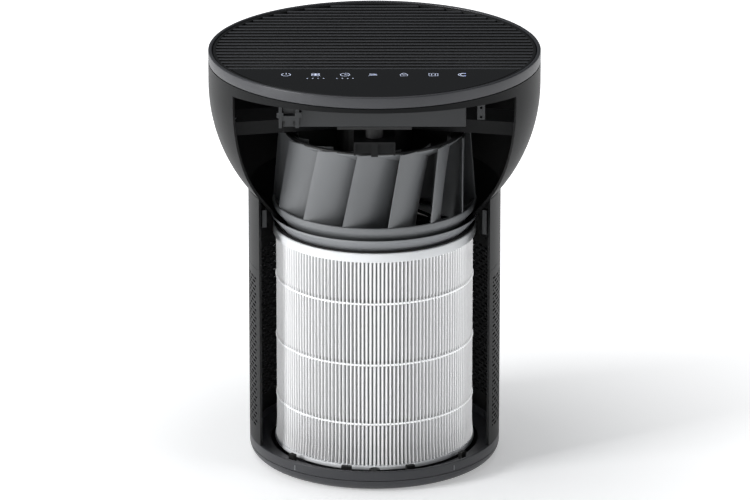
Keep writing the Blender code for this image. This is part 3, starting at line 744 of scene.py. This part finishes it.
def makeIntake():
    s = intake
    reachOut = math.pi - cutAzimuth(drumR)
    inletHalf = math.asin((inletHigh.x + inletRoom["gap"]) / drumR) / (2 * reachOut)
    margin = inletRoom["frame"] / drumR / (2 * reachOut)
    columns = [1.0, 0.5 - inletHalf, 0.5 + inletHalf]
    for k in range(s["slots"]):
        columns += [(k + offset) / s["slots"] for offset in (0.0, s["slotShare"] - 0.5, 0.5, s["slotShare"])]
    columns.sort()
    rows = [drumLow.z, drumHigh.z, inletLow.z - inletRoom["gap"], inletHigh.z + inletRoom["gap"]]
    z = s["firstRow"]
    while z < s["lastRow"]:
        rows += [z, z + s["slotHeight"]]
        z += s["rowPitch"]
    rows.sort()
    layers = []
    for radius in (drumR, drumR - s["wall"]):
        reach = math.pi - cutAzimuth(radius)
        angles = [reach * (2 * u - 1) for u in columns]
        around = [(radius * math.sin(a), radius * math.cos(a)) for a in angles]
        layers.append([[(x, y, z) for x, y in around] for z in rows])
    solid = []
    middles = [(u0 + u1) / 2 for u0, u1 in zip(columns, columns[1:])]
    for z0, z1 in zip(rows, rows[1:]):
        solid.append([not isOpen(u, (z0 + z1) / 2, inletHalf, margin) for u in middles])
    build = bmesh.new()
    outer, inner = [[[build.verts.new(p) for p in row] for row in layer] for layer in layers]
    lastRow, lastColumn = len(rows) - 2, len(columns) - 2
    for r in range(len(rows) - 1):
        outLow, outHigh, inLow, inHigh = outer[r], outer[r + 1], inner[r], inner[r + 1]
        for c in range(len(columns) - 1):
            if not solid[r][c]:
                continue
            n = c + 1
            build.faces.new((outLow[c], outHigh[c], outHigh[n], outLow[n]))
            build.faces.new((inLow[n], inHigh[n], inHigh[c], inLow[c]))
            if r == 0 or not solid[r - 1][c]:
                build.faces.new((outLow[c], outLow[n], inLow[n], inLow[c]))
            if r == lastRow or not solid[r + 1][c]:
                build.faces.new((outHigh[n], outHigh[c], inHigh[c], inHigh[n]))
            if c == 0 or not solid[r][c - 1]:
                build.faces.new((outHigh[c], outLow[c], inLow[c], inHigh[c]))
            if c == lastColumn or not solid[r][n]:
                build.faces.new((outLow[n], outHigh[n], inHigh[n], inLow[n]))
    bmesh.ops.delete(build, geom=[v for v in build.verts if not v.link_faces], context="VERTS")
    bmesh.ops.recalc_face_normals(build, faces=build.faces)
    mesh = bpy.data.meshes.new("intakeWall")
    build.to_mesh(mesh)
    build.free()
    return addPiece("intakeWall", mesh, finish["case"], "housing", ("intake_grille",), 25.0)


def makeSensorCutter():
    # three boxes that cut the air slots in front of the particle sensor
    s = sensorSlots
    points, faces = [], []
    for index in range(s["count"]):
        low = s["first"] + s["step"] * index
        first = len(points)
        for z in (low, low + s["height"]):
            for y in s["depth"]:
                points += [(-s["half"], y, z), (s["half"], y, z)]
        box = ((0, 2, 3, 1), (4, 5, 7, 6), (0, 1, 5, 4), (2, 6, 7, 3), (0, 4, 6, 2), (1, 3, 7, 5))
        faces += [tuple(first + corner for corner in face) for face in box]
    obj = bpy.data.objects.new("sensorSlots", meshOf("sensorSlots", points, faces))
    bpy.context.scene.collection.objects.link(obj)
    return obj


def makeCollar():
    collarLow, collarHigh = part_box("upper_collar")
    inner = drumR - intake["wall"]
    outline = rounded([(drumR, collarHigh.z), (drumR, collarLow.z)], 0.0005, 3, closed=False)
    outline += [(inner, collarLow.z), (inner, coneHeight(inner) - 0.0008)]
    cutter = makeSensorCutter()
    mesh = opened(opened(latheMesh("collarShell", outline, 240), wedge), cutter)
    bpy.data.objects.remove(cutter)
    return addPiece("collarShell", mesh, finish["case"], "housing", ("upper_collar",))


def makeInletPins():
    # two round pins at the bottom of the appliance inlet's wells
    s = inletPins
    r, length = s["radius"], s["length"]
    outline = [(0.0, 0.0), (r, 0.0), (r, length - s["taper"]), (r * 0.5, length), (0.0, length)]
    for side, name in ((-1, "inletPinLeft"), (1, "inletPinRight")):
        spot = (side * s["apart"] / 2, s["start"], (inletLow.z + inletHigh.z) / 2)
        mesh = latheMesh(name, outline, 24, closed=False)
        mesh.transform(Matrix.Translation(spot) @ Matrix.Rotation(-math.pi / 2, 4, "X"))
        addPiece(name, mesh, finish["steel"], "housing", (), 30.0)


baseShape = {"seatR": 0.1080, "shelfZ": 0.0145, "edge": 0.0006}


def makeBase():
    seatR, shelfZ, inner = baseShape["seatR"], baseShape["shelfZ"], drumR - intake["wall"]
    outline = [(drumR, baseHigh.z), (drumR, baseLow.z), (seatR, baseLow.z), (seatR, shelfZ)]
    outline = rounded(outline + [(inner, shelfZ), (inner, baseHigh.z)], baseShape["edge"], 3)
    return turnedPiece("baseRing", outline, "satin", "housing", "case_black", "base_ring")


coverShape = {
    "round": 0.0140,
    "bottomRise": 0.0015,
    "arcSteps": 14,
    "gap": 0.0004,
    "floorZ": 0.0042,
    "ridgeInR": 0.0880,
    "ridgeOutR": 0.0960,
    "slopeR": 0.1180,
    "wallR": 0.1262,
    "slopeTopZ": 0.0090,
}


def makeCover():
    s = coverShape
    r, rise, lip = s["round"], s["bottomRise"], baseLow.z - s["gap"]
    start, end = math.asin((r - lip) / r), math.asin((r - rise) / r)
    arc = [start + (end - start) * i / s["arcSteps"] for i in range(s["arcSteps"] + 1)]
    low, seat = s["floorZ"], coverHigh.z
    inside = [(0.0, low), (s["ridgeInR"], low), (s["ridgeInR"], seat), (s["ridgeOutR"], seat)]
    inside += [(s["ridgeOutR"], low), (s["slopeR"], low), (s["wallR"], s["slopeTopZ"]), (s["wallR"], lip)]
    outer = [(drumR - r + r * math.cos(a), r - r * math.sin(a)) for a in arc]
    outline = inside + outer + [(0.0, rise)]
    return turnedPiece("coverDish", outline, "satin", "cover", "case_black", "cover_dish", closed=False)


alignMarks = {"angle": 39.0, "up": 0.0014, "height": 0.0052, "width": 0.0014, "proud": 0.0004, "root": 0.0010}


def makeAlignMarks():
    # two short raised ticks on the base ring that line up with the cover's unlocked and locked positions
    s = alignMarks
    outR = drumR - 0.0001
    for side, name in ((-1, "alignMarkLeft"), (1, "alignMarkRight")):
        angle = math.radians(s["angle"]) * side
        across = Vector((math.cos(angle), math.sin(angle), 0)) * s["width"] / 2
        outward = frontPoint(1.0, angle)
        points = []
        for z in (baseLow.z + s["up"], baseLow.z + s["up"] + s["height"]):
            inner = outward * (outR - s["root"]) + Vector((0, 0, z))
            outer = outward * (outR + s["proud"]) + Vector((0, 0, z))
            points += [inner - across, inner + across, outer + across * 0.6, outer - across * 0.6]
        faces = [(3, 2, 1, 0), (4, 5, 6, 7), (0, 1, 5, 4), (1, 2, 6, 5), (2, 3, 7, 6), (3, 0, 4, 7)]
        addPiece(name, meshOf(name, points, faces), finish["orifice"], "housing", (), 30.0)


makeIntake()
makeCollar()
makeInletPins()
makeBase()
makeAlignMarks()
makeCover()
print("drum and base done")


pleats = {
    "count": 155,
    "perPleat": 10,
    "outerR": 0.1016,
    "innerR": 0.0722,
    "depth": 0.0045,
    "tip": 0.42,
    "crownDip": 0.16,
    "levels": 110,
    "flareTop": 0.0340,
    "flare": 0.0010,
    "lean": 0.00004,
}
threads = {
    "heights": (0.0638, 0.1284, 0.1946),
    "radius": 0.0011,
    "dip": 0.0012,
    "sink": 0.0002,
    "sag": 0.0003,
    "pressAbove": 0.0026,
    "pressWidth": 0.0013,
    "press": 0.0016,
}
filterPieces = []  # what the two filter lamps light


def pleatShare(turn):
    # 0 on the fold's crown, 1 in the valley
    phase = abs((turn * pleats["count"]) % 1.0 - 0.5) * 2.0
    crown = 1.0 - phase
    tip, dip = pleats["tip"], pleats["crownDip"]
    if crown < tip:
        return dip * (crown / tip) ** 2
    return dip + (1 - dip) * ((crown - tip) / (1 - tip)) ** 0.8


def makePleats():
    s = pleats
    steps = s["count"] * s["perPleat"]
    low, high = mediaLow.z, mediaHigh.z
    points, faces = [], []
    zs = [low + (high - low) * i / s["levels"] for i in range(s["levels"] + 1)]
    for z in zs:
        flare = max(0.0, (s["flareTop"] - z) / (s["flareTop"] - low)) * s["flare"]
        above = [z - height - threads["pressAbove"] for height in threads["heights"]]
        press = threads["press"] * sum(math.exp(-(gap / threads["pressWidth"]) ** 2) for gap in above)
        for k in range(steps):
            turn = k / steps
            lean = s["lean"] * math.sin(z * 61 + math.floor(turn * s["count"]) * 2.4)
            share = pleatShare(turn)
            radius = s["outerR"] + flare - s["depth"] * share - press * (0.35 + 0.65 * share)
            angle = math.tau * turn + lean / s["outerR"]
            points.append((radius * math.sin(angle), -radius * math.cos(angle), z))
    inner = len(points)
    for z in (low, high):
        for k in range(steps):
            angle = math.tau * k / steps
            points.append((s["innerR"] * math.sin(angle), -s["innerR"] * math.cos(angle), z))
    for row in range(len(zs) - 1):
        for k in range(steps):
            n = (k + 1) % steps
            faces.append((row * steps + k, row * steps + n, (row + 1) * steps + n, (row + 1) * steps + k))
    last = (len(zs) - 1) * steps
    for k in range(steps):
        n = (k + 1) % steps
        faces.append((inner + n, inner + k, inner + steps + k, inner + steps + n))
        faces.append((k, inner + k, inner + n, n))
        faces.append((last + n, inner + steps + n, inner + steps + k, last + k))
    mesh = meshOf("pleatPack", points, faces)
    pack = addPiece("pleatPack", mesh, finish["pleats"], "filter", ("filter_media",), 60.0)
    filterPieces.append(pack)


def makeThreads():
    steps, sides = pleats["count"] * 6, 8
    for index, height in enumerate(threads["heights"]):
        points, faces = [], []
        for k in range(steps):
            turn = k / steps
            wave = 0.5 - 0.5 * math.cos(math.tau * turn * pleats["count"])
            centreR = pleats["outerR"] - threads["dip"] * (1 - wave) - threads["sink"]
            thick = threads["radius"] * (0.72 + 0.38 * wave)
            z = height - threads["sag"] * (1 - wave)
            angle = math.tau * turn
            for side in range(sides):
                a = math.tau * side / sides
                radius = centreR + thick * math.cos(a)
                place = (radius * math.sin(angle), -radius * math.cos(angle), z + thick * math.sin(a))
                points.append(place)
        for k in range(steps):
            for side in range(sides):
                j, n = (side + 1) % sides, (k + 1) % steps
                faces.append((k * sides + side, n * sides + side, n * sides + j, k * sides + j))
        mesh = meshOf("glueThread", points, faces)
        thread = addPiece(f"glueThread{index + 1}", mesh, finish["glue"], "filter", (), 80.0)
        filterPieces.append(thread)


topRing = {"edge": 0.0016, "boreR": 0.0740, "lipZ": 0.2424, "neckR": 0.0962, "neckZ": 0.2482, "mouthR": 0.0976}
bottomCap = {"edge": 0.0010, "recess": 0.0020, "recessR": 0.0718}


def makeFilterRings():
    low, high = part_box("filter_top_ring")
    s, r = topRing, high.x
    outline = [(r - 0.0004, high.z), (r, high.z - 0.0030), (r, low.z + 0.0006), (r - 0.0016, low.z)]
    outline += [(s["boreR"], low.z), (s["boreR"], s["lipZ"]), (s["neckR"], s["lipZ"])]
    outline += [(s["neckR"], s["neckZ"]), (s["mouthR"], high.z)]
    outline = rounded(outline, s["edge"], 5)
    turnedPiece("filterTopRing", outline, "filterRim", "filter", "filter_rim", "filter_top_ring")
    low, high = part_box("filter_bottom_cap")
    s, r = bottomCap, high.x
    floorZ = high.z - s["recess"]
    outline = [(0.0, floorZ), (s["recessR"], floorZ), (s["recessR"] + 0.0008, high.z), (r - 0.0006, high.z)]
    outline += [(r, high.z - 0.0012), (r, low.z + 0.0010), (r - 0.0012, low.z), (0.0, low.z)]
    outline = rounded(outline, s["edge"], 4, closed=False)
    look = ("filterRim", "filter", "filter_rim", "filter_bottom_cap")
    turnedPiece("filterBottomCap", outline, *look, closed=False)


makePleats()
makeThreads()
makeFilterRings()
print("filter done")


blades = {
    "count": 14,
    "first": 7.6,
    "lean": 8.0,
    "sweep": 30.0,
    "thick": 0.0024,
    "along": 18,
    "up": 12,
    "foot": (0.1045, 0.0640),
    "head": (0.0981, 0.0796),
    "headDrop": 0.0012,
    "crown": 0.0010,
    "rimR": 0.1008,
}


# the line that the feet of the blades follow along the shroud's inner face
shroudLine = [(0.0, 0.2585), (0.0888, 0.2585), (0.0970, 0.2656), (0.1022, 0.2740), (0.1024, 0.2774), (1.0, 0.2774)]


def shroudInner(radius):
    for (r0, z0), (r1, z1) in zip(shroudLine, shroudLine[1:]):
        if r0 <= radius <= r1:
            return z0 + (z1 - z0) * (radius - r0) / (r1 - r0)
    return shroudHigh.z + 0.0004


def bladeLine(tip, root, tipAngle):
    line = []
    for i in range(blades["along"] + 1):
        t = i / blades["along"]
        angle = tipAngle + math.radians(blades["sweep"]) * (1.35 * t - 0.35 * t * t)
        line.append(frontPoint(tip + (root - tip) * t, angle))
    return line


def makeBlades():
    s = blades
    points, faces = [], []
    headZ = wheelHigh.z - s["headDrop"]
    for index in range(s["count"]):
        tipAngle = math.radians(s["first"]) + math.tau * index / s["count"]
        foot = bladeLine(*s["foot"], tipAngle)
        head = bladeLine(*s["head"], tipAngle + math.radians(s["lean"]))
        for point in foot:
            radius = math.hypot(point.x, point.y)
            point.z = shroudInner(radius + 0.0016) + 0.0003 if radius < s["rimR"] else shroudHigh.z + 0.0004
        for point in head:
            point.z = headZ
        first = len(points)
        count = 2 * (s["along"] + 1)
        for level in range(s["up"] + 1):
            t = level / s["up"]
            line = [a.lerp(b, t) for a, b in zip(foot, head)]
            near, far = [], []
            for i, point in enumerate(line):
                along = line[min(i + 1, s["along"])] - line[max(i - 1, 0)]
                side = Vector((-along.y, along.x, 0)).normalized()
                share = i / s["along"]
                ends = min(1.0, 0.35 + 9 * share, 0.35 + 5 * (1 - share))
                crown = s["crown"] * math.sin(math.pi * t) * math.sin(math.pi * share)
                near.append(point + side * (s["thick"] / 2 * ends + crown))
                far.append(point - side * (s["thick"] / 2 * ends - crown))
            points += near + far[::-1]
        for level in range(s["up"]):
            for i in range(count):
                j = (i + 1) % count
                a, b = first + level * count, first + (level + 1) * count
                faces.append((a + i, a + j, b + j, b + i))
        for base in (first, first + s["up"] * count):
            for i in range(s["along"]):
                faces.append((base + i, base + i + 1, base + count - 2 - i, base + count - 1 - i))
    mesh = faceOutward(meshOf("wheelBlades", points, faces))
    return addPiece("wheelBlades", mesh, finish["fan"], "fan", (), 40.0)


hubShape = {
    "edgeR": 0.0935,
    "floorR": 0.0450,
    "floorZ": 0.3300,
    "thick": 0.0025,
    "bore": 0.0043,
    "bossR": 0.0100,
    "bossZ": 0.3180,
    "edge": 0.0030,
}


def makeHub():
    s = hubShape
    top = wheelHigh.z
    outline = [(s["edgeR"], top), (s["edgeR"], top - 0.0032), (0.0850, top - 0.0100), (0.0660, top - 0.0210)]
    under = s["floorZ"] - s["thick"]
    outline += [(s["floorR"] - 0.0005, under), (s["bossR"], under), (s["bossR"], s["bossZ"])]
    outline += [(s["bore"], s["bossZ"]), (s["bore"], s["floorZ"]), (s["floorR"], s["floorZ"])]
    outline += [(0.0650, top - 0.0170), (0.0835, top - 0.0065), (s["edgeR"] - 0.0045, top)]
    outline = rounded(outline, s["edge"], 4)
    mesh = latheMesh("wheelHub", outline, 168)
    mesh.materials.append(finish["fan"])
    mesh.materials.append(finish["hub"])
    for face in mesh.polygons:
        # painted shade: upward faces and the top edge take the near-black copy of the fan plastic
        face.material_index = 1 if face.normal.z > 0.15 or face.center.z > top - 0.0020 else 0
    return addPiece("wheelHub", mesh, None, "fan", ("impeller_wheel",), 40.0)


shroudShape = {
    "outer": [(0.1050, 0.2710), (0.0988, 0.2630), (0.0920, 0.2560), (0.0910, 0.2500)],
    "inner": [(0.0888, 0.2500), (0.0898, 0.2570), (0.0970, 0.2646), (0.1026, 0.2716)],
    "edge": 0.0022,
}


def makeShroud():
    outer, inner = shroudShape["outer"], shroudShape["inner"]
    outline = [(outer[0][0], shroudHigh.z)] + outer + inner + [(inner[-1][0], shroudHigh.z)]
    outline = rounded(outline, shroudShape["edge"], 4)
    return turnedPiece("wheelShroud", outline, "fan", "fan", "fan_grey", "impeller_shroud", 40.0)


orificeShape = {
    "rimR": 0.1071,
    "flange": 0.0020,
    "gap": 0.0004,
    "neckIn": 0.0932,
    "neckOut": 0.0950,
    "neckTop": 0.2480,
    "neckEnd": 0.2440,
    "edge": 0.0006,
}


def makeOrifice():
    # a flange along the underside of the bowl's cone, and a neck that dips into the filter
    s, coneEnd = orificeShape, bowlShape["coneEndR"]
    rimR, neckIn, neckOut, foot, lip = s["rimR"], s["neckIn"], s["neckOut"], s["neckEnd"], coneEnd - 0.0015
    outline = [(rimR, coneHeight(rimR, s["gap"])), (rimR, coneHeight(rimR, s["flange"]))]
    outline += [(neckOut + 0.0010, coneHeight(neckOut + 0.0010, s["flange"]))]
    outline += [(neckOut, s["neckTop"]), (neckOut, foot), (neckIn, foot)]
    outline += [(neckIn, coneHeight(coneEnd, s["gap"]) - 0.0008), (lip, coneHeight(lip, s["gap"]) - 0.0002)]
    outline = rounded(outline, s["edge"], 3)
    return turnedPiece("orificeRing", outline, "orifice", "housing", "frame_grey", "orifice_ring")


makeBlades()
makeHub()
makeShroud()
makeOrifice()
print("blower wheel done")
bpy.data.objects.remove(wedge)


# pieces that keep their CAD shape and get eased corners, by how wide the easing is
eased = {
    "control_box": 0.0008,
    "wire_clip": 0.0004,
    "screw_tab": 0.0004,
    "collar_rib_left": 0.0004,
    "collar_rib_right": 0.0004,
    "locating_tab_left": 0.0005,
    "locating_tab_right": 0.0005,
    "cover_catch_left": 0.0005,
    "cover_catch_right": 0.0005,
}
slotFinish = {
    "case_black": "case",
    "inner_black": "inner",
    "panel_gloss": "panel",
    "fan_grey": "fan",
    "frame_grey": "frame",
    "filter_media": "pleats",
    "filter_rim": "filterRim",
    "carbon": "carbon",
    "rubber": "rubber",
    "steel": "steel",
    "copper_winding": "copper",
    "board_green": "board",
}


def finishFor(node, slotName):
    return finish["bracket"] if node == "motor_bracket" else finish[slotFinish[slotName]]


def dressNodes():
    slots = {part["node"]: part["material_slot"] for part in frame["record"]["subparts"]}
    for node, width in eased.items():
        softened(node, width, finishFor(node, slots[node]))
    kept = 0
    for node, obj in frame["nodes"].items():
        if obj.hide_render:
            continue
        for index in range(max(1, len(obj.material_slots))):
            if obj.material_slots:
                obj.material_slots[index].material = finishFor(node, slots[node])
            else:
                obj.data.materials.append(finishFor(node, slots[node]))
        kept += 1
    print("CAD pieces dressed:", kept)


dressNodes()


# painted light: the floor glows white away from the object in place of a lit studio sweep, and glows less near it,
# which darkens the floor round the object as painted shade
stageSettings = {
    "floorColor": "#f4f5f6",
    "glowStart": 0.18,
    "glowEnd": 0.90,
    "glowNear": 0.32,
    "glow": 1.0,
    "half": 30.0,
    "airColor": "#dfe3e8",
    "air": 0.16,
}


def makeFloor():
    half = stageSettings["half"]
    corners = [(-half, -half, 0), (half, -half, 0), (half, half, 0), (-half, half, 0)]
    mesh = meshOf("studioFloor", corners, [(0, 1, 2, 3)])
    made, tree, shader = startMaterial("paintedFloorMatte", stageSettings["floorColor"], 0.9)
    where = addNode(tree, "ShaderNodeTexCoord").outputs["Object"]
    far = addNode(tree, "ShaderNodeVectorMath", {"operation": "LENGTH"}, {0: where})
    reach = {"From Min": stageSettings["glowStart"], "From Max": stageSettings["glowEnd"]}
    glow = {"To Min": stageSettings["glowNear"], "To Max": stageSettings["glow"]}
    ramp = addNode(tree, "ShaderNodeMapRange", {**reach, **glow}, {"Value": far.outputs["Value"]})
    shader.inputs["Emission Color"].default_value = (1, 1, 1, 1)
    tree.links.new(ramp.outputs["Result"], shader.inputs["Emission Strength"])
    shader.inputs["Specular IOR Level"].default_value = 0.1
    obj = bpy.data.objects.new("studioFloor", mesh)
    mesh.materials.append(made)
    bpy.context.scene.collection.objects.link(obj)


# power in watts; a lamp with "only" lights the pleats and their threads, and nothing else shades them
lamps = {
    "keyLeft": {"place": (-2.1, -1.0, 1.1), "size": (0.8, 1.4), "power": 44.0, "aim": (0, 0, 0.25)},
    "fillRight": {"place": (2.1, -1.0, 0.9), "size": (0.8, 1.4), "power": 5.5, "aim": (0, 0, 0.20)},
    "overhead": {"place": (-0.4, 0.3, 2.6), "size": (2.4, 2.4), "power": 26.0, "aim": (0, 0, 0.2)},
    "front": {"place": (-0.3, -3.0, 1.3), "size": (1.6, 1.0), "power": 3.2, "aim": (0, 0, 0.2)},
    "filterLeft": {
        "place": (-2.2, -0.8, 0.5),
        "size": (0.6, 0.8),
        "power": 20.0,
        "aim": (0, 0, 0.12),
        "only": True,
    },
    "filterRight": {
        "place": (2.2, -0.8, 0.5),
        "size": (0.6, 0.8),
        "power": 33.0,
        "aim": (0, 0, 0.12),
        "only": True,
    },
}


def makeLights():
    for name, s in lamps.items():
        light = bpy.data.lights.new(name, "AREA")
        light.shape = "RECTANGLE"
        light.size, light.size_y = s["size"]
        light.energy = s["power"]
        obj = bpy.data.objects.new(name, light)
        obj.location = s["place"]
        obj.rotation_euler = (Vector(s["aim"]) - Vector(s["place"])).to_track_quat("-Z", "Y").to_euler()
        bpy.context.scene.collection.objects.link(obj)
        if "only" in s:
            group = bpy.data.collections.new(name + "Pieces")
            for piece in filterPieces:
                group.objects.link(piece)
            obj.light_linking.receiver_collection = group
            obj.light_linking.blocker_collection = group
    world = bpy.data.worlds.new("studioAir")
    bpy.context.scene.world = world
    world.use_nodes = True
    tree = world.node_tree
    back = tree.nodes["Background"]
    back.inputs["Color"].default_value = linearColor(stageSettings["airColor"])
    back.inputs["Strength"].default_value = stageSettings["air"]


view = {"aim": Vector((0.0, 0.0, 0.2185)), "elevation": 19.0, "distance": 6.2, "lens": 288.0, "shift": 0.00067}


def makeCamera():
    camera = bpy.data.cameras.new("studioCamera")
    camera.lens = view["lens"]
    camera.sensor_width = 36.0
    camera.clip_end = 100.0
    camera.shift_x = view["shift"]
    obj = bpy.data.objects.new("studioCamera", camera)
    tilt = math.radians(view["elevation"])
    obj.location = view["aim"] + view["distance"] * Vector((0, -math.cos(tilt), math.sin(tilt)))
    obj.rotation_euler = (math.pi / 2 - tilt, 0, 0)
    bpy.context.scene.collection.objects.link(obj)
    bpy.context.scene.camera = obj


makeFloor()
makeLights()
makeCamera()
bpy.context.scene.view_settings.view_transform = "Standard"
bpy.context.scene.view_settings.look = "None"
print("stage done")
